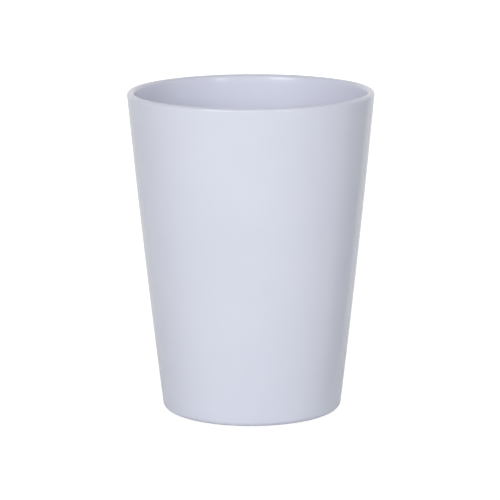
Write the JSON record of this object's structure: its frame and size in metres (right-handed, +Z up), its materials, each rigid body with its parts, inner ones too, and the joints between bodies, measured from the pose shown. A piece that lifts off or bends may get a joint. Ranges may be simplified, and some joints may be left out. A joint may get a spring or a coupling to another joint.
{
  "type": "bathroom tumbler cup",
  "caption": "Plain tapered tumbler cup with a thick rounded lip, standing on a soft non-slip ring set in its base.",
  "frame": {"origin": "where the cup's axis meets the surface that its foot ring stands on", "axes": "+Z up along the cup's axis, towards the open mouth; X and Y level, each in line with two of the ring's vents"},
  "size_m": [0.0798, 0.0798, 0.1049],
  "materials": {
    "lilac_gloss": "glossy moulded plastic, pale lilac",
    "soft_grey": "matt soft rubber, pale grey"
  },
  "bodies": {
    "root": {"cup_body": "lilac_gloss", "foot_ring": "soft_grey"}
  },
  "joints": []
}
